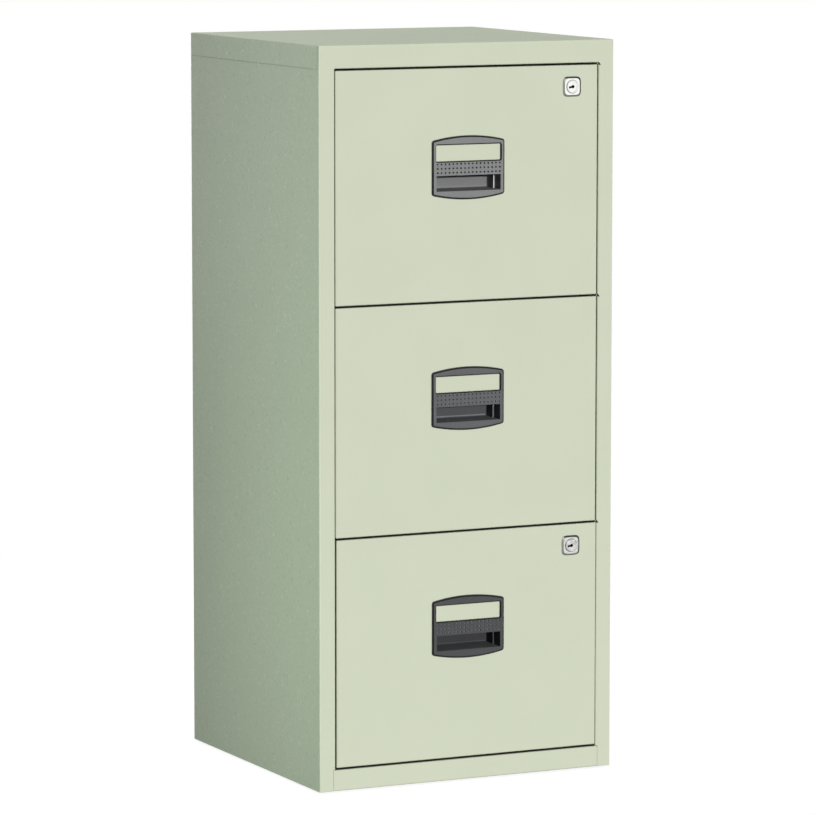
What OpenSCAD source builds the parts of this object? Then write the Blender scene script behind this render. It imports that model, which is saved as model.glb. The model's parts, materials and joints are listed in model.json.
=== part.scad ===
/* [Cabinet] */
// Overall width
body_w = 413; // [380:1:520]
// Depth from the front face to the back
body_d = 400; // [330:1:620]
// Overall height, standing on its glides
body_h = 940; // [780:1:1200]
// Thickness of the cabinet's sheet steel
body_t = 0.9; // [0.7:0.1:1.2]
// Inside radius of the bends
bend_r = 1; // [0.6:0.1:1.5]
// Clearance between pieces that are welded, hooked or screwed face to face
fit = 0.05; // [0.02:0.01:0.1]

/* [Front frame] */
// Height of the top cap's flange, which is also the top rail
top_rail_h = 29.1; // [24:0.1:40]
// Height of the bottom rail
bottom_rail_h = 27; // [22:0.1:60]
// Width of the two stiles beside the drawers
stile_w = 21.5; // [20:0.1:30]
// Depth of the stiles' box section
stile_d = 24; // [22:0.1:32]
// How far the bottom rail laps into each stile
rail_lap = 3; // [2:0.1:6]
// Width of the folded returns behind the frame's faces
return_w = 15; // [10:0.5:17]

/* [Drawers] */
// Gap above and below each drawer front
gap_z = 2.4; // [1.5:0.1:4]
// Gap beside each drawer front, when it hangs centred
gap_x = 1.2; // [0.8:0.1:2.5]
// How much taller the top drawer's front is than the others
top_extra = 3.5; // [0:0.1:10]
// Depth of the hollow drawer front
front_d = 17; // [15.5:0.1:19]
// Thickness of the drawers' sheet steel
drawer_t = 0.8; // [0.6:0.1:1]
// Height of the tray's floor above the lower edge of the front
tray_up = 12; // [11:0.5:25]
// Height of the hanging rails below the upper edge of the front
rail_down = 29.6; // [26:0.1:45]
// Free depth behind the drawer
tray_back_gap = 16; // [10:0.5:60]

/* [Handle] */
// Width of the handle's bezel
bezel_w = 102; // [80:1:130]
// Height of the bezel at its two sides
bezel_side_h = 68.5; // [60:0.5:90]
// How far its upper and lower edges bow out
bezel_bow = 6; // [2:0.5:12]
// Thickness of the bezel in front of the drawer
bezel_proud = 2.4; // [1.6:0.1:3.2]
// Height of the handle's middle above the lower edge of the drawer front
handle_up = 168; // [100:1:190]
// Height of the card window
window_h = 20.2; // [12:0.1:24]
// Height of the finger opening
recess_h = 19.7; // [16:0.1:24]
// Depth of the finger recess behind the drawer's face
recess_d = 34; // [24:0.5:38]
// Spacing of the grip dimples
dimple_pitch = 5.45; // [4.5:0.05:7]

/* [Lock] */
// Width of the square lock plate
plate_w = 25.5; // [20:0.5:30]
// How far the lock's collar stands out of the drawer front
collar_proud = 3.5; // [2.5:0.1:5]
// Distance of the lock's axis from the drawer front's right edge
lock_in = 37; // [30:0.1:45]
// Distance of the lock's axis below the drawer front's upper edge
lock_down = 27.3; // [22:0.1:60]
// Lift of the lock bar
bar_lift = 12; // [8:0.5:14]

/* [Slides] */
// Height of the slides' middle above the lower edge of the drawer front
slide_up = 120; // [60:1:170]
// Thickness of the slide, side to side
slide_w = 12.7; // [12.7:0.1:16]
// Height of the slide's cabinet member
slide_h = 45; // [43:0.5:60]
// Thickness of the slides' steel
slide_t = 1.2; // [1:0.1:1.3]
// Free depth behind the slides
slide_back_gap = 29.7; // [20:0.1:80]
// Diameter of the slides' steel balls
ball_d = 3.8; // [3.4:0.1:3.8]
// Balls in each row of a cage
ball_count = 5; // [3:1:8]
// Play of the balls in their races
ball_play = 0.2; // [0.15:0.05:0.3]

/* [Base] */
// Height of the floor glides
glide_h = 2; // [1.5:0.5:6]
// Radius of the floor glides
glide_r = 14; // [8:0.5:18]
// Height of the base panel's flanges
base_flange = 22; // [15:1:30]

/* [Hidden] */

paint = [0.816, 0.839, 0.749];
zinc = [0.72, 0.73, 0.74];
nickel = [0.86, 0.86, 0.85];
black_nylon = [0.12, 0.12, 0.13];
handle_grey = [0.36, 0.36, 0.37];

$fn = 48;
bend_steps = 4;
// How far a cut runs past the faces that it opens
past = 1;
// Thickness of a hull's end slices
skin = 0.01;

// The frame of the part: the middle of the floor under its whole box, front towards -Y
front_y = (collar_proud - body_d) / 2;
back_y = front_y + body_d;
half_w = body_w / 2;
open_x = half_w - stile_w;
cap_z = body_h - top_rail_h;

// Folded edges of the cabinet's sheets
lip = 8;
top_rail_lip = 12;
foot_lip = 6;
back_flange = 10;
tongue_h = 20;
tongue_root = 12;
seam_h = 0.8;
seam_y = front_y + 3;
lap_play = 0.3;
corner_seam_w = 1.2;
slit_w = 2.6;
slit_h = 4;
slit_t = 1.5;
slit_d = 4;

// Floor glides
glide_stem_r = 5;
glide_stem_up = 5;
glide_hole_r = glide_stem_r + 0.2;
glide_in = 28;
glide_places = [
    for (x = [-1, 1])
        for (y = [front_y + stile_d + 24, back_y - glide_in])
            [x * (half_w - glide_in), y]
];

// Drawer fronts, counted 0, 1, 2 from the top
low_front_h = (cap_z - glide_h - bottom_rail_h - 4 * gap_z - top_extra) / 3;
function front_bottom(n) = glide_h + bottom_rail_h + gap_z + (2 - n) * (low_front_h + gap_z);
function front_top(n) = front_bottom(n) + low_front_h + (n == 0 ? top_extra : 0);
// Each front hangs a little to one side, as assembled
hang_x = [-0.3, -0.3, 0.7];
front_half = open_x - gap_x;
liner_in = 6;
liner_gap = 0.1;
liner_half = front_half - drawer_t - liner_gap;
front_back_y = front_y + front_d;

// Slides: u is the distance from the cabinet member's back towards the drawer
slide_x = open_x - 0.7;
tray_x = slide_x - slide_w - fit;
slide_y0 = front_back_y + 1.5;
slide_y1 = back_y - 2 * body_t - slide_back_gap;
slide_stop = 5;
travel = slide_y1 - slide_y0 - slide_stop;
slide_short = 8;
race = ball_d + 2 * ball_play;
outer_half = slide_h / 2;
mid_half = outer_half - slide_t - race;
inner_half = mid_half - slide_t - race;
outer_ball_z = outer_half - slide_t - race / 2;
inner_ball_z = mid_half - slide_t - race / 2;
mid_u = 2 * slide_t;
outer_cage_u = slide_t + 0.35;
inner_cage_u = mid_u + slide_t + 0.5;
cage_t = 0.5;
outer_arm_u = 9.5;
mid_arm_u = slide_w - slide_t - 0.7;
outer_ball_u = outer_arm_u - slide_t - 0.4 - ball_d / 2;
inner_ball_u = mid_arm_u - slide_t - 0.3 - ball_d / 2;
lip_h = 2.7;
slide_bend_r = 0.8;
cage_bend_r = 0.4;
driver_hole_r = 4.4;
cage_y0 = slide_y0 + travel / 4 + 2;
cage_y1 = slide_y1 - travel / 4 - slide_short - 2;
function slide_z(n) = front_bottom(n) + slide_up;

// Uprights that carry the slides
upright_in = 40;
upright_w = 32;
upright_t = 1.2;
upright_foot = 10;
upright_end = 0.5;
upright_x = slide_x + fit + upright_t;
upright_y = [front_y + upright_in, back_y - upright_in - upright_w];
slot_pitch = 40;
hook_z = [-11, 9];
hook_w = 10;
hook_drop = 6;
hook_play = 0.4;
hook_slot_w = hook_w + 2;

// Trays
tray_y0 = front_back_y + fit;
tray_y1 = back_y - 2 * body_t - tray_back_gap;
shoulder_w = 5.45;
hem_w = 2.2;
hem_h = 9;
shoulder_drop = 12;
rib_h = 2;
rib_w = 24;
hem_bend_r = 0.25;
tray_flange = 12;
flange_in = 8;
back_lip = 13;
back_hem_h = 10;
back_hem_in = 12;
function tray_floor(n) = front_bottom(n) + tray_up;
function rail_top(n) = front_top(n) - rail_down;
function shoulder_z(n) = rail_top(n) - shoulder_drop;

// Screws
screw_r = 1.95;
screw_hole_r = 2.1;
screw_head_r = 3.4;
screw_head_h = 1.7;
front_screw_l = 4;
slide_screw_l = 1.5;
front_screw_x = tray_x - tray_flange / 2 - 0.4;
front_screw_up = [48, 190];
slide_screw_y = [slide_y0 + 30, slide_y1 - slide_short - 50];
thread_over = 1;
cross = [2.1, 0.45];
cross_depth = 0.9;

// Handle, around its middle
bezel_corner_r = 3.6;
bezel_round = 0.6 * bezel_proud;
rim_w = 1.5;
rim_t = 0.5;
window_w = bezel_w - 12;
window_low = 8.5;
window_z = [window_low, window_low + window_h];
window_corner_r = 1.2;
recess_top = -9.6;
recess_z = [recess_top - recess_h, recess_top];
recess_rise = 1.4;
cup_wall = 2;
cup_roof = 3.5;
cup_play = 0.3;
cup_slope = [6, 8];
cup_half = window_w / 2 + cup_wall;
cup_step_d = 15.5;
cup_step_w = 1.6;
cup_front = 1.2;
lug_z = [-26, -6];
lug_h = 8;
dimple_r = 1.2;
dimple_depth = 1.9;
dimple_rows = 3;
dimple_columns = 17;
function handle_z(n) = front_bottom(n) + handle_up;

// Lock bar in the right stile, with an ear that holds the middle drawer
bar_t = 2;
bar_play = 0.4;
bar_x = open_x + body_t + bar_play;
bar_y = [front_y + 5, front_y + 18.5];
bar_end = 10;
ear_y = [front_y + 8, front_y + 10];
ear_h = 8;
ear_play = 1;
ear_slot_play = 1.5;
ear_reach = 5.5;
ear_z = front_top(1) - 60;
guide_t = 1;
guide_h = 12;
guide_foot = 2;
guide_play = 0.9;
guide_bend_r = 0.3;

// Locks, at depths behind the drawer's face
plug_r = 6;
bore_r = plug_r + 0.05;
plug_sunk = 0.3;
key_r = 1.7;
key_slot = [5.3, 1.7];
key_d = 7;
key_turn = 10;
barrel_r = 8;
barrel_hole_r = barrel_r + 0.1;
collar_bevel = 0.7;
plate_proud = 1.6;
plate_rim = 0.4;
plate_bevel = 2.2;
groove_w = 0.7;
groove_d = 0.6;
barrel_d = front_d - 5.5;
cam_t = 2;
cam_d = [barrel_d + 0.7, barrel_d + 0.7 + cam_t];
cam_len = lock_in + gap_x + body_t + bar_play + bar_t + 2.1;
cam_tip_half = 4;
cam_tip_l = 10;
cam_half = 6;
cam_shoulder_l = 14;
cam_play = 0.8;
tongue_play = 1;
tail_w = 6;
stud_r = 2;
nut_r = 5;
nut_d = [cam_d[1] + fit, cam_d[1] + 1.2];
clip_t = 0.8;
clip_half = [12.5, 13];
groove_depth = 0.7;
function lock_x(n) = front_half + hang_x[n] - lock_in;
function lock_z(n) = front_top(n) - lock_down;
tip_r = norm([cam_len, cam_tip_half]);
// Lowest point, below the lock's axis, at which the cam's tip crosses a wall dx to its right
function tip_drop(dx) = sqrt(pow(tip_r, 2) - pow(dx, 2)) + tongue_play;

// Cross rails behind the gaps between the drawers
cross_y = front_back_y + 1.5;
cross_half_h = 9;
cross_d = 14;
pad_t = 1.15;
pad_r = 3.2;
pad_in = 60;
pad_z = (cross_half_h + gap_z / 2 + drawer_t) / 2 - 0.1;

// ---------------------------------------------------------------- tools

function unit(v) = v / norm(v);
function left_of(v) = [-v[1], v[0]];
function turned(v, a) = [v[0] * cos(a) - v[1] * sin(a), v[0] * sin(a) + v[1] * cos(a)];
function heading(path, i) = unit(path[i + 1] - path[i]);
function turn_between(a, b) = atan2(a[0] * b[1] - a[1] * b[0], a[0] * b[0] + a[1] * b[1]);
function reversed(list) = [for (i = [len(list) - 1:-1:0]) list[i]];
function ahead(v) = [for (x = v) max(x, 0)];
function behind(v) = [for (x = v) min(x, 0)];

// One bend at the corner p, followed at the distance off to the left of the path
function bend(p, a, b, off, side, r, t) =
    let (
        angle = turn_between(a, b),
        s = sign(angle),
        line_r = side * s > 0 ? r + t : r,
        centre = p - a * line_r * tan(abs(angle) / 2) + left_of(a) * s * line_r,
        spoke = -left_of(a) * s * (line_r - s * off)
    )
    [for (k = [0:bend_steps]) centre + turned(spoke, angle * k / bend_steps)];

function face_line(path, off, side, r, t) =
    let (last = len(path) - 1)
    concat(
        [path[0] + left_of(heading(path, 0)) * off],
        [for (i = [1:last - 1]) each bend(path[i], heading(path, i - 1), heading(path, i), off, side, r, t)],
        [path[last] + left_of(heading(path, last - 1)) * off]
    );

// Section of a folded sheet: path is one face of it, and the metal lies on its left (1) or right (-1)
function folded(path, t, side = 1, r = bend_r) =
    concat(face_line(path, 0, side, r, t), reversed(face_line(path, side * t, side, r, t)));

function corner(centre, r, from) =
    [for (k = [0:bend_steps]) let (a = from + 90 * k / bend_steps) centre + r * [cos(a), sin(a)]];

// A rectangle with round corners
function soft_rect(lo, hi, r) = concat(
    corner([hi[0] - r, hi[1] - r], r, 0),
    corner([lo[0] + r, hi[1] - r], r, 90),
    corner([lo[0] + r, lo[1] + r], r, 180),
    corner([hi[0] - r, lo[1] + r], r, 270)
);

module along_x(x0, x1) {
    translate([x0, 0, 0])
        rotate([90, 0, 90])
            linear_extrude(x1 - x0)
                children();
}

module along_y(y0, y1) {
    translate([0, y1, 0])
        rotate([90, 0, 0])
            linear_extrude(y1 - y0)
                children();
}

module along_z(z0, z1) {
    translate([0, 0, z0])
        linear_extrude(z1 - z0)
            children();
}

module box(lo, hi) {
    translate(lo)
        cube(hi - lo);
}

// A cylinder from the point at, along +X, +Y or +Z
module rod_x(at, length, r) {
    translate(at)
        rotate([0, 90, 0])
            cylinder(h = length, r = r);
}

module rod_y(at, length, r) {
    translate(at)
        rotate([-90, 0, 0])
            cylinder(h = length, r = r);
}

module both_sides() {
    children();
    mirror([1, 0, 0])
        children();
}

// A block with all its edges rounded
module soft_block(lo, hi, r) {
    intersection() {
        along_z(lo[2], hi[2])
            polygon(soft_rect([lo[0], lo[1]], [hi[0], hi[1]], r));
        along_y(lo[1], hi[1])
            polygon(soft_rect([lo[0], lo[2]], [hi[0], hi[2]], r));
        along_x(lo[0], hi[0])
            polygon(soft_rect([lo[1], lo[2]], [hi[1], hi[2]], r));
    }
}

// A pressed pan of sheet t that fills the box from lo to hi and is open towards the unit vector open
module pan(lo, hi, open, t) {
    reach = 3 * (bend_r + t);
    wall = [t, t, t];
    intersection() {
        box(lo, hi);
        difference() {
            soft_block(lo + behind(open) * reach, hi + ahead(open) * reach, bend_r + t);
            soft_block(lo + wall + behind(open) * 2 * reach, hi - wall + ahead(open) * 2 * reach, bend_r);
        }
    }
}

// ---------------------------------------------------------------- cabinet

module top_cap() {
    rail_path = [
        [front_y + return_w, cap_z + lip],
        [front_y + return_w, cap_z],
        [front_y, cap_z],
        [front_y, cap_z + top_rail_lip]
    ];
    color(paint) {
        difference() {
            pan([-half_w, front_y, cap_z], [half_w, back_y, body_h], [0, 0, -1], body_t);
            box([-open_x, front_y - past, cap_z - past],
                [open_x, front_y + body_t + past, cap_z + top_rail_lip / 2]);
            // Upright seam beside each front corner
            both_sides()
                box([half_w - body_t / 2, seam_y - corner_seam_w, cap_z - past],
                    [half_w + past, seam_y, body_h - body_t - bend_r]);
        }
        // The top rail's folded return spans the opening
        along_x(-open_x + fit, open_x - fit)
            polygon(folded(rail_path, body_t, side = -1));
        both_sides()
            box([open_x - 2 * fit, front_y, cap_z], [open_x + fit, front_y + body_t, cap_z + lip]);
    }
}

// The right side: side wall, rear return and the front stile's box section in one folded sheet
module side_panel() {
    section = [
        [open_x + lip, front_y + stile_d],
        [open_x, front_y + stile_d],
        [open_x, front_y],
        [half_w, front_y],
        [half_w, back_y],
        [half_w - return_w, back_y]
    ];
    tongue_x = [half_w - 2 * body_t - fit, half_w - body_t - fit];
    tongue_y = [upright_y[0] + upright_w + upright_foot + 2, upright_y[1] - upright_foot - 2];
    difference() {
        union() {
            along_z(glide_h, cap_z)
                polygon(folded(section, body_t));
            // Tongue behind the cap's flange
            box([tongue_x[0], tongue_y[0], cap_z - tongue_root],
                [tongue_x[1], tongue_y[1], cap_z + tongue_h]);
            box([tongue_x[0], tongue_y[0], cap_z - tongue_root],
                [half_w - body_t / 2, tongue_y[1], cap_z - seam_h - 0.2]);
        }
        // Seam under the cap's flange
        box([half_w - body_t / 2, seam_y, cap_z - seam_h], [half_w + past, back_y + past, cap_z + past]);
        // Seat of the bottom rail's face
        box([open_x - past, front_y - past, glide_h - past],
            [open_x + rail_lap, front_y + body_t + lap_play, glide_h + bottom_rail_h + lap_play]);
    }
}

// A small slanting slit where the gap below the height z meets the stile
module gap_slit(z) {
    along_y(front_y - past, front_y + slit_d)
        polygon([
            [open_x - past, z],
            [open_x + 1, z],
            [open_x + slit_w, z - slit_h + slit_t],
            [open_x + slit_w, z - slit_h],
            [open_x - past, z - slit_t]
        ]);
}

module left_side() {
    color(paint)
        mirror([1, 0, 0])
            side_panel();
}

module right_side() {
    slot_x = [open_x - past, open_x + body_t + past];
    color(paint)
        difference() {
            side_panel();
            for (n = [0:2])
                gap_slit(front_top(n) + gap_z);
            // Slots for the tongues of the two locks
            for (n = [0, 2])
                box([slot_x[0], front_y + cam_d[0] - cam_play, lock_z(n) - tip_drop(open_x - lock_x(n))],
                    [slot_x[1], front_y + cam_d[1] + cam_play, lock_z(n) + cam_tip_half + tongue_play]);
            // Slot for the lock bar's ear
            box([slot_x[0], ear_y[0] - ear_play, ear_z - ear_slot_play],
                [slot_x[1], ear_y[1] + ear_play, ear_z + ear_h + bar_lift + ear_slot_play]);
        }
}

module back_panel() {
    x = half_w - body_t - fit;
    y = back_y - body_t - fit;
    flange_z = glide_h + base_flange + past;
    section = [[-x, y - back_flange], [-x, y], [x, y], [x, y - back_flange]];
    color(paint)
        difference() {
            along_z(glide_h, body_h - body_t - bend_r - fit)
                polygon(folded(section, body_t, side = -1));
            // The flanges stop above the base panel
            box([-half_w, y - back_flange - past, glide_h - past], [half_w, y - body_t, flange_z]);
        }
}

module base_panel() {
    x = half_w - body_t - fit;
    color(paint)
        difference() {
            pan([-x, front_y + stile_d + fit, glide_h],
                [x, back_y - 2 * (body_t + fit), glide_h + base_flange], [0, 0, 1], body_t);
            for (p = glide_places)
                translate([p[0], p[1], glide_h - past])
                    cylinder(h = body_t + 2 * past, r = glide_hole_r);
        }
}

module bottom_rail() {
    z = [glide_h, glide_h + bottom_rail_h];
    y = [front_y, front_y + stile_d - fit];
    section = [
        [y[1], z[0] + foot_lip],
        [y[1], z[0]],
        [y[0], z[0]],
        [y[0], z[1]],
        [y[1], z[1]],
        [y[1], z[1] - lip]
    ];
    end_x = open_x + rail_lap - lap_play;
    color(paint)
        difference() {
            along_x(-end_x, end_x)
                polygon(folded(section, body_t, side = -1));
            both_sides()
                box([open_x - fit, y[0] + body_t, z[0] - past], [end_x + past, y[1] + past, z[1] + past]);
        }
}

// U-section rails behind the two gaps between the drawers
module cross_rails() {
    color(paint)
        for (n = [0, 1]) {
            z = front_bottom(n) - gap_z / 2;
            section = [
                [cross_y + cross_d, z - cross_half_h],
                [cross_y, z - cross_half_h],
                [cross_y, z + cross_half_h],
                [cross_y + cross_d, z + cross_half_h]
            ];
            along_x(-open_x + fit, open_x - fit)
                polygon(folded(section, body_t, side = -1));
        }
}

// A pair of hat-section uprights, slotted where the slides hook in
module uprights(y) {
    foot_x = half_w - body_t - fit;
    section = [
        [foot_x, y - upright_foot],
        [foot_x, y],
        [upright_x, y],
        [upright_x, y + upright_w],
        [foot_x, y + upright_w],
        [foot_x, y + upright_w + upright_foot]
    ];
    color(zinc)
        both_sides()
            difference() {
                along_z(glide_h + base_flange + upright_end, body_h - body_t - 2 * upright_end)
                    polygon(folded(section, upright_t));
                for (n = [0:2])
                    for (step = [-1:1])
                        for (h = hook_z)
                            translate([upright_x, y + upright_w / 2, slide_z(n) + h + step * slot_pitch])
                                box([-upright_t - past, -hook_slot_w / 2, -0.3], [past, hook_slot_w / 2, 9]);
            }
}

module front_uprights() {
    uprights(upright_y[0]);
}

module rear_uprights() {
    uprights(upright_y[1]);
}

module floor_glides() {
    color(black_nylon)
        for (p = glide_places)
            translate([p[0], p[1], 0]) {
                cylinder(h = glide_h - fit, r = glide_r);
                cylinder(h = glide_h + body_t + glide_stem_up, r = glide_stem_r);
            }
}

// Rubber pads on the cross rails that the closed drawers come to rest against
module buffer_pads() {
    color(black_nylon)
        both_sides()
            for (n = [0, 1])
                for (side = [-1, 1])
                    rod_y([open_x - pad_in, cross_y - pad_t, front_bottom(n) - gap_z / 2 + side * pad_z],
                          pad_t - fit, pad_r);
}

// ---------------------------------------------------------------- slides

// Section points of the left (-1) or right (1) slide, from distances u and heights z
function slide_path(points, hand = 1) = [for (p = points) [hand * (slide_x - p[0]), p[1]]];

module cabinet_slides(n) {
    section = slide_path([
        [outer_arm_u, outer_half - lip_h],
        [outer_arm_u, outer_half],
        [0, outer_half],
        [0, -outer_half],
        [outer_arm_u, -outer_half],
        [outer_arm_u, -outer_half + lip_h]
    ]);
    hook_x = [slide_x - slide_t / 2, upright_x + hook_play];
    color(zinc)
        both_sides()
            translate([0, 0, slide_z(n)]) {
                along_y(slide_y0, slide_y1)
                    polygon(folded(section, slide_t, side = -1, r = slide_bend_r));
                // Hooks that hang in the uprights' slots
                for (y = upright_y)
                    for (h = hook_z) {
                        y0 = y + (upright_w - hook_w) / 2;
                        box([hook_x[0], y0, h], [hook_x[1] + slide_t, y0 + hook_w, h + slide_t]);
                        box([hook_x[1], y0, h - hook_drop], [hook_x[1] + slide_t, y0 + hook_w, h + slide_t]);
                    }
            }
}

module middle_slides(n) {
    section = slide_path([
        [mid_arm_u, mid_half - lip_h],
        [mid_arm_u, mid_half],
        [mid_u, mid_half],
        [mid_u, -mid_half],
        [mid_arm_u, -mid_half],
        [mid_arm_u, -mid_half + lip_h]
    ]);
    color(zinc)
        both_sides()
            translate([0, 0, slide_z(n)])
                difference() {
                    along_y(slide_y0, slide_y1 - slide_short)
                        polygon(folded(section, slide_t, side = -1, r = slide_bend_r));
                    // Holes that give a screwdriver its way through
                    for (y = slide_screw_y)
                        rod_x([slide_x - mid_u - 2 * slide_t, y, 0], 4 * slide_t, driver_hole_r);
                }
}

module drawer_slides(n) {
    section = slide_path([
        [inner_cage_u + cage_t + 0.6, inner_half],
        [slide_w, inner_half],
        [slide_w, -inner_half],
        [inner_cage_u + cage_t + 0.6, -inner_half]
    ]);
    color(zinc)
        both_sides()
            translate([0, 0, slide_z(n)])
                difference() {
                    along_y(slide_y0, slide_y1 - slide_short)
                        polygon(folded(section, slide_t, r = slide_bend_r));
                    for (y = slide_screw_y)
                        rod_x([slide_x - slide_w - past, y, 0], slide_t + 2 * past, screw_hole_r);
                }
}

// A pressed cage with its rows of balls, above and below, on the left (-1) and on the right (1)
module cages(n, cage_u, ball_u, ball_z) {
    arm_u = ball_u + ball_d / 2;
    arm_z = ball_z + cage_t / 2;
    step = (cage_y1 - cage_y0 - 2 * ball_d) / (ball_count - 1);
    color(zinc)
        for (hand = [-1, 1]) {
            section = slide_path([[arm_u, arm_z], [cage_u, arm_z], [cage_u, -arm_z], [arm_u, -arm_z]], hand);
            translate([0, 0, slide_z(n)]) {
                along_y(cage_y0, cage_y1)
                    polygon(folded(section, cage_t, side = -hand, r = cage_bend_r));
                for (i = [0:ball_count - 1])
                    for (side = [-1, 1])
                        translate([hand * (slide_x - ball_u), cage_y0 + ball_d + i * step, side * ball_z])
                            rotate([0, 90, 0])
                                sphere(d = ball_d, $fn = 24);
            }
        }
}

module outer_cages(n) {
    cages(n, outer_cage_u, outer_ball_u, outer_ball_z);
}

module inner_cages(n) {
    cages(n, inner_cage_u, inner_ball_u, inner_ball_z);
}

// ---------------------------------------------------------------- drawers

// The way of the lock bar's ear into the middle drawer's front: in from behind, then up
module ear_way() {
    x = [front_half - ear_reach - ear_play, front_half + 2 * past];
    y = [ear_y[0] - ear_play, ear_y[1] + ear_play];
    z = [ear_z - ear_slot_play, ear_z + ear_h + ear_slot_play];
    box([x[0], y[0], z[0]], [x[1], front_back_y + past, z[1]]);
    box([x[0], y[0], z[0]], [x[1], y[1], z[1] + bar_lift]);
}

// The slot in the front's right edge that the cam's tongue passes through
module tongue_way(n) {
    x = liner_half + hang_x[n] - 2 * drawer_t;
    box([x, front_y + cam_d[0] - cam_play, lock_z(n) - tip_drop(x - lock_x(n))],
        [x + 6 * drawer_t, front_y + cam_d[1] + cam_play, lock_z(n) + cam_tip_half + tongue_play]);
}

// The opening for the handle's cup
module cup_way(n) {
    half = cup_half + cup_play;
    box([hang_x[n] - half, front_y - past, handle_z(n) + recess_z[0] - cup_wall - cup_play],
        [hang_x[n] + half, front_back_y + past, handle_z(n) + cup_roof + cup_wall + cup_play]);
}

module drawer_front(n) {
    has_lock = n != 1;
    color(paint)
        difference() {
            pan([hang_x[n] - front_half, front_y, front_bottom(n)],
                [hang_x[n] + front_half, front_back_y, front_top(n)], [0, 1, 0], drawer_t);
            cup_way(n);
            if (has_lock) {
                rod_y([lock_x(n), front_y - past, lock_z(n)], drawer_t + 2 * past, barrel_hole_r);
                tongue_way(n);
            } else {
                ear_way();
            }
        }
}

module front_liner(n) {
    inset = drawer_t + liner_gap;
    has_lock = n != 1;
    color(paint)
        difference() {
            pan([hang_x[n] - liner_half, front_y + liner_in, front_bottom(n) + inset],
                [hang_x[n] + liner_half, front_back_y, front_top(n) - inset], [0, -1, 0], drawer_t);
            cup_way(n);
            front_screws(n, screw_hole_r, thread_over);
            if (has_lock)
                tongue_way(n);
            else
                ear_way();
        }
}

// Shanks of the screws that hold the tray to its front, of radius r and running past both ends by extra
module front_screws(n, r, extra) {
    for (side = [-1, 1])
        for (up = front_screw_up)
            rod_y([side * front_screw_x, front_back_y - front_screw_l - extra, front_bottom(n) + up],
                  front_screw_l + fit + drawer_t + 2 * extra, r);
}

// Shanks of the screws that hold the slides to the tray
module slide_screws(n, r, extra) {
    both_sides()
        for (y = slide_screw_y)
            rod_x([tray_x - drawer_t - slide_screw_l - extra, y, slide_z(n)],
                  drawer_t + slide_screw_l + fit + slide_t + 2 * extra, r);
}

// Floor and sides of a drawer in one folded sheet, with stiffening ribs and hemmed hanging rails
module drawer_tray(n) {
    floor_z = tray_floor(n);
    top_z = rail_top(n);
    step_z = shoulder_z(n);
    rail_x = tray_x - shoulder_w;
    rib = [
        for (x = [-tray_x / 2, 0, tray_x / 2])
            each [[x - rib_w / 2, floor_z], [x - rib_w / 2 + rib_h, floor_z + rib_h],
                  [x + rib_w / 2 - rib_h, floor_z + rib_h], [x + rib_w / 2, floor_z]]
    ];
    section = concat(
        [[-rail_x + hem_w, top_z - hem_h], [-rail_x + hem_w, top_z], [-rail_x, top_z],
         [-rail_x, step_z], [-tray_x, step_z], [-tray_x, floor_z]],
        rib,
        [[tray_x, floor_z], [tray_x, step_z], [rail_x, step_z],
         [rail_x, top_z], [rail_x - hem_w, top_z], [rail_x - hem_w, top_z - hem_h]]
    );
    color(paint)
        difference() {
            union() {
                along_y(tray_y0, tray_y1)
                    polygon(folded(section, drawer_t, r = hem_bend_r));
                // Flanges at the front end, where the tray is screwed to its front
                both_sides()
                    box([tray_x - tray_flange, tray_y0, floor_z + flange_in],
                        [tray_x - drawer_t / 2, tray_y0 + drawer_t, step_z - flange_in]);
            }
            front_screws(n, screw_hole_r, thread_over);
            slide_screws(n, screw_hole_r, thread_over);
        }
}

module drawer_back(n) {
    x = tray_x - drawer_t - fit;
    y = tray_y1 + fit + drawer_t;
    section = [[-x, y - back_lip], [-x, y], [x, y], [x, y - back_lip]];
    color(paint)
        difference() {
            union() {
                along_z(tray_floor(n), rail_top(n))
                    polygon(folded(section, drawer_t, side = -1));
                // Hem along the upper edge
                box([-x + back_hem_in, y - drawer_t / 2, rail_top(n) - back_hem_h],
                    [x - back_hem_in, y + drawer_t, rail_top(n)]);
            }
            // The side flanges stand between the floor and the shoulders
            box([-half_w, y - back_lip - past, tray_floor(n) - past], [half_w, tray_y1, tray_floor(n) + 4]);
            box([-half_w, y - back_lip - past, shoulder_z(n) - 3], [half_w, tray_y1, rail_top(n) + past]);
        }
}

module drawer_screws(n) {
    head_y = front_back_y + 2 * fit + drawer_t;
    head_x = slide_x - slide_w + slide_t + fit;
    color(zinc) {
        front_screws(n, screw_r, screw_head_h / 2);
        slide_screws(n, screw_r, screw_head_h / 2);
        for (side = [-1, 1])
            for (up = front_screw_up)
                translate([side * front_screw_x, head_y, front_bottom(n) + up])
                    rotate([-90, 0, 0])
                        screw_head();
        both_sides()
            for (y = slide_screw_y)
                translate([head_x, y, slide_z(n)])
                    rotate([0, 90, 0])
                        screw_head();
    }
}

// A pan head with a cross recess, its underside on the floor
module screw_head() {
    difference() {
        cylinder(h = screw_head_h, r = screw_head_r);
        for (a = [0, 90])
            rotate([0, 0, a])
                box([-cross[0], -cross[1], screw_head_h - cross_depth],
                    [cross[0], cross[1], screw_head_h + past]);
    }
}

// ---------------------------------------------------------------- handle

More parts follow.
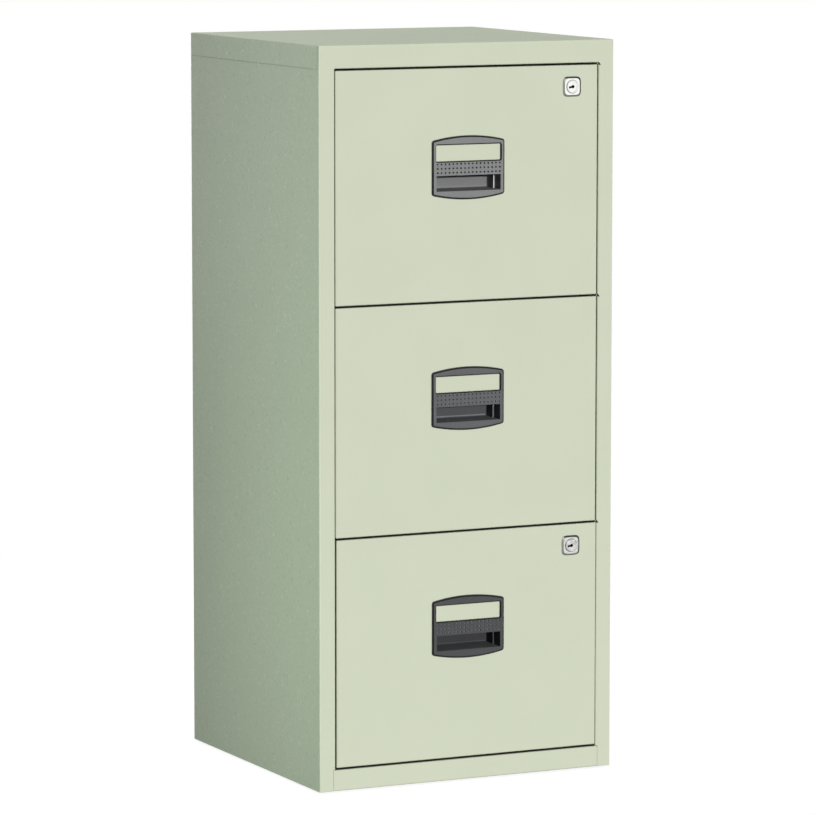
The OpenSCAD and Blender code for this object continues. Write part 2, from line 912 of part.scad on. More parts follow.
// Outline of the bezel: upright sides, bowed upper and lower edges, round corners
function bezel_outline(inset) =
    let (
        half = bezel_w / 2 - inset,
        full_r = (pow(bezel_w / 2, 2) + pow(bezel_bow, 2)) / (2 * bezel_bow),
        bow_r = full_r - inset,
        bow_z = bezel_side_h / 2 + bezel_bow - full_r,
        corner_r = bezel_corner_r - inset,
        corner_x = half - corner_r,
        corner_z = bow_z + sqrt(pow(bow_r - corner_r, 2) - pow(corner_x, 2)),
        lean = atan2(corner_z - bow_z, corner_x),
        upper = concat(
            [for (k = [0:4]) [corner_x, corner_z] + corner_r * [cos(lean * k / 4), sin(lean * k / 4)]],
            [for (k = [1:19])
                let (a = lean + (180 - 2 * lean) * k / 20) [0, bow_z] + bow_r * [cos(a), sin(a)]],
            [for (k = [4:-1:0]) [-corner_x, corner_z] + corner_r * [-cos(lean * k / 4), sin(lean * k / 4)]]
        )
    )
    concat(upper, [for (i = [len(upper) - 1:-1:0]) [upper[i][0], -upper[i][1]]]);

// The bezel's rounded edge, from its side at 0 degrees to its face at 90
function edge_inset(a) = rim_w + bezel_round * (1 - cos(a));
function edge_y(a) = bezel_round - bezel_proud - bezel_round * sin(a);

module bezel() {
    // A thin rim lies round its foot
    along_y(-rim_t, 0)
        polygon(bezel_outline(0));
    along_y(edge_y(0), 0)
        polygon(bezel_outline(rim_w));
    for (a = [0, 30, 60])
        hull() {
            along_y(edge_y(a), edge_y(a) + skin)
                polygon(bezel_outline(edge_inset(a)));
            along_y(edge_y(a + 30), edge_y(a + 30) + skin)
                polygon(bezel_outline(edge_inset(a + 30)));
        }
}

module handle(n) {
    outer_y = -bezel_proud - past;
    cavity = [
        [outer_y, recess_z[0]],
        [recess_d, recess_z[0] + recess_rise],
        [recess_d, cup_roof - cup_slope[1]],
        [recess_d - cup_slope[0], cup_roof],
        [cup_front, cup_roof],
        [cup_front, recess_z[1]],
        [outer_y, recess_z[1]]
    ];
    cup = [
        [0, recess_z[0] - cup_wall],
        [recess_d + cup_wall, recess_z[0] - cup_wall],
        [recess_d + cup_wall, cup_roof - cup_slope[1] + 0.4 * cup_wall],
        [recess_d - cup_slope[0] + 0.4 * cup_wall, cup_roof + cup_wall],
        [0, cup_roof + cup_wall]
    ];
    half = window_w / 2;
    dimple_z = (window_z[0] + recess_z[1]) / 2;
    color(handle_grey)
        translate([hang_x[n], front_y, handle_z(n)])
            difference() {
                union() {
                    bezel();
                    along_x(-cup_half, cup_half)
                        polygon(cup);
                    // Snap lugs behind the drawer's face
                    for (side = [-1, 1])
                        for (z = lug_z)
                            translate([side * cup_half, 0, z])
                                rotate([0, 0, 90 - 90 * side])
                                    along_z(0, lug_h)
                                        polygon([[-0.5, side * 1.2], [1.6, side * 1.2], [-0.5, side * 7]]);
                }
                // Card window, with a rim like the bezel's own
                along_y(outer_y, past)
                    polygon(soft_rect([-half, window_z[0]], [half, window_z[1]], window_corner_r));
                along_y(outer_y, -rim_t)
                    polygon(soft_rect([-half - rim_w, window_z[0] - rim_w],
                                      [half + rim_w, window_z[1] + rim_w], window_corner_r + rim_w));
                // Finger recess, a little narrower in its deeper part
                intersection() {
                    along_x(-half, half)
                        polygon(cavity);
                    union() {
                        box([-half, outer_y, -bezel_side_h / 2], [half, cup_step_d, bezel_side_h / 2]);
                        box([cup_step_w - half, 0, -bezel_side_h / 2],
                            [half - cup_step_w, recess_d + past, bezel_side_h / 2]);
                    }
                }
                // Grip dimples
                for (i = [0:dimple_columns - 1])
                    for (row = [0:dimple_rows - 1])
                        rod_y([(i - (dimple_columns - 1) / 2) * dimple_pitch, outer_y,
                               dimple_z + (row - (dimple_rows - 1) / 2) * dimple_pitch],
                              past + dimple_depth, dimple_r);
            }
}

// ---------------------------------------------------------------- locks

// Outline of the lock plate: a square with slightly bulged sides and soft corners
function plate_outline(w) = [
    for (a = [0:7.5:352.5])
        let (r = w / 2 / pow(pow(abs(cos(a)), 5) + pow(abs(sin(a)), 5), 1 / 5))
        r * [cos(a), sin(a)]
];

module at_lock(n) {
    translate([lock_x(n), front_y, lock_z(n)])
        children();
}

module lock_housing(n) {
    bevel_y = collar_bevel - collar_proud;
    color(nickel)
        at_lock(n)
            difference() {
                union() {
                    difference() {
                        hull() {
                            along_y(-plate_rim, 0)
                                polygon(plate_outline(plate_w));
                            along_y(-plate_proud, skin - plate_proud)
                                polygon(plate_outline(plate_w - 2 * plate_bevel));
                        }
                        // Groove round the collar
                        rod_y([0, -plate_proud - past, 0], past + groove_d, barrel_r + groove_w);
                    }
                    rod_y([0, bevel_y, 0], barrel_d - bevel_y, barrel_r);
                    // Bevelled front of the collar
                    translate([0, -collar_proud, 0])
                        rotate([-90, 0, 0])
                            cylinder(h = collar_bevel, r1 = barrel_r - collar_bevel, r2 = barrel_r);
                }
                rod_y([0, -collar_proud - past, 0], collar_proud + barrel_d + 2 * past, bore_r);
                // Grooves for the clip
                both_sides()
                    box([barrel_r - groove_depth, drawer_t + fit, -barrel_r],
                        [barrel_r + past, drawer_t + 3 * fit + clip_t, barrel_r]);
            }
}

// Horseshoe clip that holds the housing from behind
module lock_clip(n) {
    half = barrel_r - groove_depth + fit;
    color(zinc)
        at_lock(n)
            along_y(drawer_t + 2 * fit, drawer_t + 2 * fit + clip_t)
                difference() {
                    polygon(soft_rect(-clip_half, clip_half, 2));
                    circle(r = barrel_hole_r);
                    translate([-half, 0])
                        square([2 * half, clip_half[1] + past]);
                }
}

module lock_plug(n) {
    color(nickel)
        at_lock(n)
            difference() {
                union() {
                    rod_y([0, plug_sunk - collar_proud, 0], collar_proud + barrel_d, plug_r);
                    box([-tail_w / 2, barrel_d, -tail_w / 2], [tail_w / 2, cam_d[1], tail_w / 2]);
                    rod_y([0, cam_d[0], 0], nut_d[1] + 0.3 - cam_d[0], stud_r);
                }
                // Keyway: a round middle with one long wing, a little turned
                rod_y([0, -collar_proud - past, 0], key_d + past, key_r);
                rotate([0, -key_turn, 0])
                    box([-key_slot[0], -collar_proud - past, -key_slot[1] / 2],
                        [0, key_d - collar_proud, key_slot[1] / 2]);
            }
}

// Cam with its tongue, which hangs down when unlocked
module lock_cam(n) {
    arm = [
        [-cam_half, 0],
        [-cam_half, cam_shoulder_l - cam_len],
        [-cam_tip_half, cam_tip_l - cam_len],
        [-cam_tip_half, -cam_len],
        [cam_tip_half, -cam_len],
        [cam_tip_half, cam_tip_l - cam_len],
        [cam_half, cam_shoulder_l - cam_len],
        [cam_half, 0]
    ];
    color(zinc)
        at_lock(n)
            along_y(cam_d[0], cam_d[1])
                difference() {
                    union() {
                        polygon(arm);
                        circle(r = cam_half + 2);
                    }
                    square(tail_w + 2 * fit, center = true);
                }
}

module lock_nut(n) {
    color(zinc)
        at_lock(n)
            translate([0, nut_d[0], 0])
                rotate([-90, 0, 0])
                    difference() {
                        cylinder(h = nut_d[1] - nut_d[0], r = nut_r, $fn = 6);
                        translate([0, 0, -past])
                            cylinder(h = nut_d[1] - nut_d[0] + 2 * past, r = stud_r + fit);
                    }
}

// Flat bar in the right stile: the top lock's tongue lifts it, and its ear holds the middle drawer
module lock_bar() {
    window_z = [lock_z(0) - tip_drop(bar_x - lock_x(0)) - bar_lift,
                lock_z(0) + cam_tip_half - bar_lift + 0.6];
    color(zinc) {
        difference() {
            box([bar_x, bar_y[0], ear_z - bar_end], [bar_x + bar_t, bar_y[1], lock_z(0) + bar_end]);
            box([bar_x - past, front_y + cam_d[0] - cam_play, window_z[0]],
                [bar_x + bar_t + past, front_y + cam_d[1] + cam_play, window_z[1]]);
        }
        box([front_half - ear_reach, ear_y[0], ear_z], [bar_x + bar_t / 2, ear_y[1], ear_z + ear_h]);
    }
}

// Straps that keep the lock bar against the stile
module lock_bar_guides() {
    foot_x = open_x + body_t + fit;
    bridge_x = bar_x + bar_t + bar_play;
    y = [bar_y[0] - guide_play, bar_y[1] + guide_play];
    section = [
        [foot_x, y[0] - guide_foot],
        [foot_x, y[0]],
        [bridge_x, y[0]],
        [bridge_x, y[1]],
        [foot_x, y[1]],
        [foot_x, y[1] + guide_foot]
    ];
    color(zinc)
        for (z = [ear_z + 30, (ear_z + lock_z(0)) / 2, lock_z(0) - 60])
            along_z(z, z + guide_h)
                polygon(folded(section, guide_t, side = -1, r = guide_bend_r));
}

// ---------------------------------------------------------------- nodes

top_cap();
left_side();
right_side();
back_panel();
base_panel();
bottom_rail();
cross_rails();
front_uprights();
rear_uprights();
floor_glides();
buffer_pads();
lock_bar();
lock_bar_guides();
cabinet_slides(0);  // cabinet_slides_1
cabinet_slides(1);  // cabinet_slides_2
cabinet_slides(2);  // cabinet_slides_3
outer_cages(0);  // outer_cages_1
outer_cages(1);  // outer_cages_2
outer_cages(2);  // outer_cages_3
middle_slides(0);  // middle_slides_1
middle_slides(1);  // middle_slides_2
middle_slides(2);  // middle_slides_3
inner_cages(0);  // inner_cages_1
inner_cages(1);  // inner_cages_2
inner_cages(2);  // inner_cages_3
drawer_slides(0);  // drawer_slides_1
drawer_slides(1);  // drawer_slides_2
drawer_slides(2);  // drawer_slides_3
drawer_front(0);  // drawer_front_1
drawer_front(1);  // drawer_front_2
drawer_front(2);  // drawer_front_3
front_liner(0);  // front_liner_1
front_liner(1);  // front_liner_2
front_liner(2);  // front_liner_3
drawer_tray(0);  // drawer_tray_1
drawer_tray(1);  // drawer_tray_2
drawer_tray(2);  // drawer_tray_3
drawer_back(0);  // drawer_back_1
drawer_back(1);  // drawer_back_2
drawer_back(2);  // drawer_back_3
handle(0);  // handle_1
handle(1);  // handle_2
handle(2);  // handle_3
drawer_screws(0);  // drawer_screws_1
drawer_screws(1);  // drawer_screws_2
drawer_screws(2);  // drawer_screws_3
lock_housing(0);  // lock_housing_1
lock_clip(0);  // lock_clip_1
lock_plug(0);  // lock_plug_1
lock_cam(0);  // lock_cam_1
lock_nut(0);  // lock_nut_1
lock_housing(2);  // lock_housing_3
lock_clip(2);  // lock_clip_3
lock_plug(2);  // lock_plug_3
lock_cam(2);  // lock_cam_3
lock_nut(2);  // lock_nut_3
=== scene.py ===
"""A filing cabinet in powder-coated sheet steel: three drawers, moulded handles and cam locks."""

import json
import math

import bmesh
import bpy
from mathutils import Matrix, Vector


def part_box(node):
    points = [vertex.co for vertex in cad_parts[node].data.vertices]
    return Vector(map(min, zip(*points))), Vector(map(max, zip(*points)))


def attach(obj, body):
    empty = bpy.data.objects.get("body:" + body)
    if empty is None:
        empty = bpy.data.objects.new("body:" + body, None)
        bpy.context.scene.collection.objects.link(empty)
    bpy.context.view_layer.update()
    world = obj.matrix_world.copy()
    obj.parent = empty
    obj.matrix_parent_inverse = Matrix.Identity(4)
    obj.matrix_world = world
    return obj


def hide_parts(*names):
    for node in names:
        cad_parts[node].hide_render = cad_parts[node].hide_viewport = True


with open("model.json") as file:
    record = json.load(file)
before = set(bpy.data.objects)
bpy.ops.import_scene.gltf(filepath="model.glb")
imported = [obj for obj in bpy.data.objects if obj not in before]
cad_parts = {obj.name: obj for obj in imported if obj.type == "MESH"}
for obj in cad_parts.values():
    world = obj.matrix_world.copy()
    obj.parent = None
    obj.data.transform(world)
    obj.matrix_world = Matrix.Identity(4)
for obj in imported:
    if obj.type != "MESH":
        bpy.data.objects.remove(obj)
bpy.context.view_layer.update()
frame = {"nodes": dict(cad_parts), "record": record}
nodes = frame["nodes"]
DRAWERS = (1, 2, 3)
LOCKED = (1, 3)


def mm(value):
    """Millimetres as metres."""
    return value / 1000


# ---------------------------------------------------------------- materials

# Where a noise has its usual lows and highs, and its rare peaks and pits
USUAL = {"From Min": 0.3, "From Max": 0.7}
PEAKS = {"From Min": 0.66, "From Max": 0.76}
PITS = {"From Min": 0.34, "From Max": 0.24}
# How open a place is where the painted seam shade is full, deep in a seam, and where it ends, just
# outside
SEAM_SHADE_OPENNESS = {"From Min": 0.6, "From Max": 0.95}
# How upright a face's direction is when the painted gap shade starts on it
GAP_SHADE_TILT = 0.75
OCCLUSION_SAMPLES = 4


def linear(hex_colour):
    """An sRGB hex colour as linear RGBA."""
    def channel(text):
        c = int(text, 16) / 255
        return c / 12.92 if c <= 0.04045 else ((c + 0.055) / 1.055) ** 2.4
    return tuple(channel(hex_colour[i:i + 2]) for i in (1, 3, 5)) + (1,)


def add(tree, kind, inputs=None, **settings):
    """A node of one kind, with its settings, and with values or links on its inputs."""
    node = tree.nodes.new(kind)
    for name, value in settings.items():
        setattr(node, name, value)
    for name, value in (inputs or {}).items():
        if isinstance(value, bpy.types.NodeSocket):
            tree.links.new(value, node.inputs[name])
        else:
            node.inputs[name].default_value = value
    return node


def new_material(name):
    """An empty material, its node tree, and the place on the piece that its patterns read."""
    material = bpy.data.materials.new(name)
    material.use_nodes = True
    tree = material.node_tree
    tree.nodes.clear()
    place = add(tree, "ShaderNodeTexCoord").outputs["Object"]
    return material, tree, place


# The painted shade inside a narrow gap and in a fine seam, and the nibs of dust under a coat
GAP_SHADE_COLOUR = "#1C1D1A"
NIB_LIGHT, NIB_DARK = "#EBF1DE", "#A9B19A"


def powder_coat(name, colour, deep):
    """Polyester powder coat on sheet steel: a satin skin with fine orange peel, and a colour that
    is almost even on the faces but pebbled on the cabinet's walls, where the coat is thicker."""
    cloud_size, peel_size, peel_height = mm(90), mm(9), mm(0.12)
    # The pebbles are about half a millimetre wide, and are drawn coarser so that they show
    pebble_size = mm(1.8)
    # The nibs are as small, lie a few centimetres apart, and are drawn coarser too
    nib_size = mm(3.6)
    gap_reach, seam_reach = mm(8), mm(1)
    # How much of its other colour each of these brings in where it is strongest
    cloud_share, nib_share, seam_shade_share = 0.2, 0.65, 0.3
    # How much of the walls' pebbles the faces keep
    faces_keep = 0.05
    material, tree, place = new_material(name)

    cloud = add(tree, "ShaderNodeTexNoise",
                {"Vector": place, "Scale": 1 / cloud_size, "Detail": 3})
    pebble = add(tree, "ShaderNodeTexNoise",
                 {"Vector": place, "Scale": 1 / pebble_size, "Detail": 2, "Roughness": 0.6})
    geometry = add(tree, "ShaderNodeNewGeometry")
    facing = add(tree, "ShaderNodeSeparateXYZ", {"Vector": geometry.outputs["True Normal"]})
    frontal = add(tree, "ShaderNodeMath", {0: facing.outputs["Y"]}, operation="ABSOLUTE")
    sideways = add(tree, "ShaderNodeMath", {0: 1.0, 1: frontal.outputs[0]}, operation="SUBTRACT")
    wall = add(tree, "ShaderNodeMapRange", {"Value": sideways.outputs[0], "To Min": faces_keep})
    grit = add(tree, "ShaderNodeMapRange", {**USUAL, "Value": pebble.outputs["Fac"]})
    speck = add(tree, "ShaderNodeMath", {0: grit.outputs[0], 1: wall.outputs[0]},
                operation="MULTIPLY")
    drift = add(tree, "ShaderNodeMapRange",
                {**USUAL, "Value": cloud.outputs["Fac"], "To Max": cloud_share})
    share = add(tree, "ShaderNodeMath", {0: drift.outputs[0], 1: speck.outputs[0]},
                operation="ADD")
    coat = add(tree, "ShaderNodeMixRGB",
               {"Fac": share.outputs[0], "Color1": linear(colour), "Color2": linear(deep)})

    nibs = add(tree, "ShaderNodeTexNoise", {"Vector": place, "Scale": 1 / nib_size, "Detail": 1})
    raised = add(tree, "ShaderNodeMapRange",
                 {**PEAKS, "Value": nibs.outputs["Fac"], "To Max": nib_share})
    sunk = add(tree, "ShaderNodeMapRange",
               {**PITS, "Value": nibs.outputs["Fac"], "To Max": nib_share})
    raised_wall = add(tree, "ShaderNodeMath", {0: raised.outputs[0], 1: wall.outputs[0]},
                      operation="MULTIPLY")
    sunk_wall = add(tree, "ShaderNodeMath", {0: sunk.outputs[0], 1: wall.outputs[0]},
                    operation="MULTIPLY")
    lifted = add(tree, "ShaderNodeMixRGB", {"Fac": raised_wall.outputs[0],
                                            "Color1": coat.outputs[0],
                                            "Color2": linear(NIB_LIGHT)})
    nibbed = add(tree, "ShaderNodeMixRGB", {"Fac": sunk_wall.outputs[0],
                                            "Color1": lifted.outputs[0],
                                            "Color2": linear(NIB_DARK)})

    # Painted shade on the level faces inside the narrow gaps
    gap = add(tree, "ShaderNodeAmbientOcclusion", {"Distance": gap_reach},
              samples=OCCLUSION_SAMPLES)
    closed = add(tree, "ShaderNodeMath", {0: 1.0, 1: gap.outputs["AO"]}, operation="SUBTRACT")
    tilt = add(tree, "ShaderNodeMath", {0: facing.outputs["Z"]}, operation="ABSOLUTE")
    level = add(tree, "ShaderNodeMapRange", {"Value": tilt.outputs[0], "From Min": GAP_SHADE_TILT})
    # Painted shade where a level face lies deep in a gap
    dust_and_gap_shade = add(tree, "ShaderNodeMath", {0: closed.outputs[0], 1: level.outputs[0]},
               operation="MULTIPLY")
    # Painted shade in a fine seam
    seam = add(tree, "ShaderNodeAmbientOcclusion", {"Distance": seam_reach},
               samples=OCCLUSION_SAMPLES)
    seam_shade = add(tree, "ShaderNodeMapRange",
               {**SEAM_SHADE_OPENNESS, "Value": seam.outputs["AO"], "To Min": seam_shade_share, "To Max": 0})
    gap_and_seam_shade = add(tree, "ShaderNodeMath", {0: dust_and_gap_shade.outputs[0], 1: seam_shade.outputs[0]},
                 operation="MAXIMUM")
    skin = add(tree, "ShaderNodeMixRGB",
               {"Fac": gap_and_seam_shade.outputs[0], "Color1": nibbed.outputs[0], "Color2": linear(GAP_SHADE_COLOUR)})

    wave = add(tree, "ShaderNodeTexNoise", {"Vector": place, "Scale": 1 / peel_size, "Detail": 1})
    height = add(tree, "ShaderNodeMath", {0: pebble.outputs["Fac"], 1: wave.outputs["Fac"]},
                 operation="ADD")
    bump = add(tree, "ShaderNodeBump",
               {"Height": height.outputs[0], "Strength": 0.3, "Distance": peel_height})
    gloss = add(tree, "ShaderNodeMapRange",
                {**USUAL, "Value": pebble.outputs["Fac"], "To Min": 0.44, "To Max": 0.52})
    shader = add(tree, "ShaderNodeBsdfPrincipled",
                 {"Base Color": skin.outputs[0], "Roughness": gloss.outputs[0],
                  "Normal": bump.outputs[0], "IOR": 1.5, "Specular IOR Level": 0.3})
    add(tree, "ShaderNodeOutputMaterial", {"Surface": shader.outputs[0]})
    return material


def moulded_abs(name, colour, pale):
    """Injection-moulded ABS with a fine satin spark texture: it takes the shine off the faces, and
    leaves soft light along the edges."""
    # The sparks are about a tenth of a millimetre wide, and are drawn coarser so that they show
    grain_size, flow_size, grain_height = mm(0.9), mm(25), mm(0.05)
    material, tree, place = new_material(name)
    grain = add(tree, "ShaderNodeTexNoise",
                {"Vector": place, "Scale": 1 / grain_size, "Detail": 3, "Roughness": 0.7})
    flow = add(tree, "ShaderNodeTexNoise", {"Vector": place, "Scale": 1 / flow_size, "Detail": 2})
    sparkle = add(tree, "ShaderNodeMapRange",
                  {**USUAL, "Value": grain.outputs["Fac"], "To Max": 0.6})
    streak = add(tree, "ShaderNodeMapRange",
                 {**USUAL, "Value": flow.outputs["Fac"], "To Max": 0.4})
    share = add(tree, "ShaderNodeMath", {0: sparkle.outputs[0], 1: streak.outputs[0]},
                operation="ADD")
    skin = add(tree, "ShaderNodeMixRGB",
               {"Fac": share.outputs[0], "Color1": linear(colour), "Color2": linear(pale)})
    bump = add(tree, "ShaderNodeBump",
               {"Height": grain.outputs["Fac"], "Strength": 0.25, "Distance": grain_height})
    gloss = add(tree, "ShaderNodeMapRange",
                {**USUAL, "Value": grain.outputs["Fac"], "To Min": 0.5, "To Max": 0.64})
    shader = add(tree, "ShaderNodeBsdfPrincipled",
                 {"Base Color": skin.outputs[0], "Roughness": gloss.outputs[0],
                  "Normal": bump.outputs[0], "IOR": 1.54, "Specular IOR Level": 0.15})
    add(tree, "ShaderNodeOutputMaterial", {"Surface": shader.outputs[0]})
    return material


def nickel_plate(name, colour, dull, rough):
    """Bright nickel on die-cast zinc: a mirror clouded by handling."""
    haze_size = mm(5)
    material, tree, place = new_material(name)
    haze = add(tree, "ShaderNodeTexNoise",
               {"Vector": place, "Scale": 1 / haze_size, "Detail": 3, "Roughness": 0.6})
    cloud = add(tree, "ShaderNodeMapRange", {**USUAL, "Value": haze.outputs["Fac"]})
    skin = add(tree, "ShaderNodeMixRGB",
               {"Fac": cloud.outputs[0], "Color1": linear(colour), "Color2": linear(dull)})
    gloss = add(tree, "ShaderNodeMapRange",
                {**USUAL, "Value": haze.outputs["Fac"], "To Min": rough, "To Max": rough + 0.12})
    shader = add(tree, "ShaderNodeBsdfPrincipled",
                 {"Base Color": skin.outputs[0], "Metallic": 1, "Roughness": gloss.outputs[0]})
    add(tree, "ShaderNodeOutputMaterial", {"Surface": shader.outputs[0]})
    return material


def bare_die_cast(name, colour, deep):
    """Zinc die casting where the polishing wheel doesn't reach: dull and finely pitted, in the dark
    tones it is given, which are painted shade.
    """
    # The pits are about a tenth of a millimetre wide, and are drawn coarser so that they show
    pit_size, pit_depth = mm(0.7), mm(0.04)
    material, tree, place = new_material(name)
    pits = add(tree, "ShaderNodeTexNoise",
               {"Vector": place, "Scale": 1 / pit_size, "Detail": 3, "Roughness": 0.7})
    skin = add(tree, "ShaderNodeMixRGB",
               {"Fac": pits.outputs["Fac"], "Color1": linear(colour), "Color2": linear(deep)})
    gloss = add(tree, "ShaderNodeMapRange",
                {**USUAL, "Value": pits.outputs["Fac"], "To Min": 0.42, "To Max": 0.6})
    bump = add(tree, "ShaderNodeBump",
               {"Height": pits.outputs["Fac"], "Strength": 0.2, "Distance": pit_depth})
    shader = add(tree, "ShaderNodeBsdfPrincipled",
                 {"Base Color": skin.outputs[0], "Metallic": 1, "Roughness": gloss.outputs[0],
                  "Normal": bump.outputs[0]})
    add(tree, "ShaderNodeOutputMaterial", {"Surface": shader.outputs[0]})
    return material


def keyway_painted_shade(name):
    """The inside of the keyway: near-black painted shade, faintly mottled."""
    mottle_size = mm(1.5)
    material, tree, place = new_material(name)
    mottle = add(tree, "ShaderNodeTexNoise", {"Vector": place, "Scale": 1 / mottle_size, "Detail": 2})
    skin = add(tree, "ShaderNodeMixRGB", {"Fac": mottle.outputs["Fac"],
                                          "Color1": linear("#0D0D0D"),
                                          "Color2": linear("#191817")})
    gloss = add(tree, "ShaderNodeMapRange",
                {**USUAL, "Value": mottle.outputs["Fac"], "To Min": 0.6, "To Max": 0.8})
    shader = add(tree, "ShaderNodeBsdfPrincipled",
                 {"Base Color": skin.outputs[0], "Roughness": gloss.outputs[0],
                  "Specular IOR Level": 0.2})
    add(tree, "ShaderNodeOutputMaterial", {"Surface": shader.outputs[0]})
    return material


def zinc_plate(name):
    """Blue-passivated zinc on rolled steel: a grey sheen with the rolling marks along the strip."""
    # The marks are finer than this across, and are drawn coarser so that they show. They run along
    # the strip, from front to back.
    mark_size, mark_stretch, mark_depth = mm(0.8), 0.03, mm(0.03)
    bloom_size = mm(18)
    material, tree, place = new_material(name)
    along = add(tree, "ShaderNodeMapping", {"Vector": place, "Scale": (1, mark_stretch, 1)})
    marks = add(tree, "ShaderNodeTexNoise",
                {"Vector": along.outputs[0], "Scale": 1 / mark_size, "Detail": 3, "Roughness": 0.6})
    bloom = add(tree, "ShaderNodeTexNoise",
                {"Vector": place, "Scale": 1 / bloom_size, "Detail": 3, "Roughness": 0.6})
    skin = add(tree, "ShaderNodeMixRGB", {"Fac": bloom.outputs["Fac"],
                                          "Color1": linear("#C9CCD0"),
                                          "Color2": linear("#A9ADB2")})
    gloss = add(tree, "ShaderNodeMapRange",
                {**USUAL, "Value": marks.outputs["Fac"], "To Min": 0.28, "To Max": 0.46})
    bump = add(tree, "ShaderNodeBump",
               {"Height": marks.outputs["Fac"], "Strength": 0.15, "Distance": mark_depth})
    shader = add(tree, "ShaderNodeBsdfPrincipled",
                 {"Base Color": skin.outputs[0], "Metallic": 1, "Roughness": gloss.outputs[0],
                  "Normal": bump.outputs[0]})
    add(tree, "ShaderNodeOutputMaterial", {"Surface": shader.outputs[0]})
    return material


def moulded_nylon(name):
    """Black nylon: dense and slightly waxy."""
    # Drawn coarser than the skin of real nylon, so that it shows
    grain_size = mm(1.2)
    material, tree, place = new_material(name)
    grain = add(tree, "ShaderNodeTexNoise", {"Vector": place, "Scale": 1 / grain_size, "Detail": 3})
    skin = add(tree, "ShaderNodeMixRGB", {"Fac": grain.outputs["Fac"],
                                          "Color1": linear("#1E1E20"),
                                          "Color2": linear("#2A2A2C")})
    gloss = add(tree, "ShaderNodeMapRange",
                {**USUAL, "Value": grain.outputs["Fac"], "To Min": 0.35, "To Max": 0.5})
    shader = add(tree, "ShaderNodeBsdfPrincipled",
                 {"Base Color": skin.outputs[0], "Roughness": gloss.outputs[0]})
    add(tree, "ShaderNodeOutputMaterial", {"Surface": shader.outputs[0]})
    return material


def soft_rubber(name):
    """Die-cut rubber: dull, with a dusty bloom."""
    # Specks of talc, drawn coarser so that they show
    dust_size = mm(1.5)
    material, tree, place = new_material(name)
    dust_and_gap_shade = add(tree, "ShaderNodeTexNoise",
               {"Vector": place, "Scale": 1 / dust_size, "Detail": 4, "Roughness": 0.7})
    skin = add(tree, "ShaderNodeMixRGB", {"Fac": dust_and_gap_shade.outputs["Fac"],
                                          "Color1": linear("#19191A"),
                                          "Color2": linear("#2E2E2F")})
    gloss = add(tree, "ShaderNodeMapRange",
                {**USUAL, "Value": dust_and_gap_shade.outputs["Fac"], "To Min": 0.7, "To Max": 0.9})
    shader = add(tree, "ShaderNodeBsdfPrincipled",
                 {"Base Color": skin.outputs[0], "Roughness": gloss.outputs[0]})
    add(tree, "ShaderNodeOutputMaterial", {"Surface": shader.outputs[0]})
    return material


PAINT = powder_coat("powder_coat_sage", "#D1D7C1", "#C6CDB6")
# The cross rails, seen through the drawer gaps, are coloured dark: painted shade for the gaps
RAIL_SHADE_PAINT = powder_coat("powder_coat_rail_painted_shade", "#4E504A", "#464842")
# By drawer: the lower handles get darker copies of the same grey moulding, painted shade as if less
# light reached them; and the two locks differ in tone
ABS = {
    1: moulded_abs("moulded_abs_grey", "#7E7F7F", "#868787"),
    2: moulded_abs("moulded_abs_mid_grey", "#5B5C5E", "#636466"),
    3: moulded_abs("moulded_abs_dark_grey", "#454647", "#4C4D4E"),
}
# Near-black painted shade on the handles' thin rims and edges, and in the top handle's dimples
SHADE = moulded_abs("moulded_abs_painted_shade_black", "#1B1B1B", "#242423")
# The cups' walls, in painted shade darker than the faces
CUP_SHADE = {
    1: moulded_abs("moulded_abs_grey_cup_painted_shade", "#747474", "#7A7A7A"),
    2: moulded_abs("moulded_abs_mid_grey_cup_painted_shade", "#464749", "#4D4E50"),
    3: moulded_abs("moulded_abs_dark_grey_cup_painted_shade", "#313133", "#373739"),
}
# The cup floors: the top handle's in the cup's painted shade, the lower two painted lighter than
# their faces, painted light
PAINTED_CUP_FLOOR = {
    1: CUP_SHADE[1],
    2: moulded_abs("moulded_abs_mid_grey_floor_painted_light", "#68696B", "#6F7072"),
    3: moulded_abs("moulded_abs_dark_grey_floor_painted_light", "#606162", "#67686A"),
}
# Painted highlights on the cups' ledges, brightest on the top handle
LEDGE_HIGHLIGHT = {
    1: moulded_abs("moulded_abs_painted_highlight_pale", "#C9C9C9", "#D6D6D6"),
    2: moulded_abs("moulded_abs_painted_highlight_grey", "#6C6D6F", "#77787A"),
    3: moulded_abs("moulded_abs_painted_highlight_dark", "#3C3D3F", "#46474A"),
}
# Painted highlights on the fillets at the foot of the cups' far walls
FILLET_HIGHLIGHT = {1: ABS[1], 2: LEDGE_HIGHLIGHT[2], 3: LEDGE_HIGHLIGHT[3]}
# The dimples: painted shade on the top handle, the face's own grey on the middle one, painted light
# on the lowest
DIMPLE_LIGHT_AND_SHADE = {1: SHADE, 2: ABS[2], 3: LEDGE_HIGHLIGHT[2]}
NICKEL = {
    1: nickel_plate("nickel_plate", "#EDEDEA", "#DEDEDB", 0.2),
    3: nickel_plate("nickel_plate_handled", "#E6E6E4", "#969795", 0.24),
}
# The lock plate's slopes: dull bare casting, in dark sage tones that are painted shade and a
# painted reflection of the sage paint
SLOPE_SHADE_PALE = bare_die_cast("bare_zinc_slope_painted_shade_pale", "#7A7D73", "#666960")
SLOPE_SHADE_DEEP = bare_die_cast("bare_zinc_slope_painted_shade_deep", "#464842", "#33352F")
KEYWAY_SHADE = keyway_painted_shade("keyway_painted_shade")
ZINC = zinc_plate("zinc_plated_steel")
NYLON = moulded_nylon("moulded_nylon_black")
RUBBER = soft_rubber("soft_rubber_black")

FINISH = {"body_paint": PAINT, "nickel_plate": NICKEL[1], "zinc_steel": ZINC,
          "black_nylon": NYLON, "rubber": RUBBER}


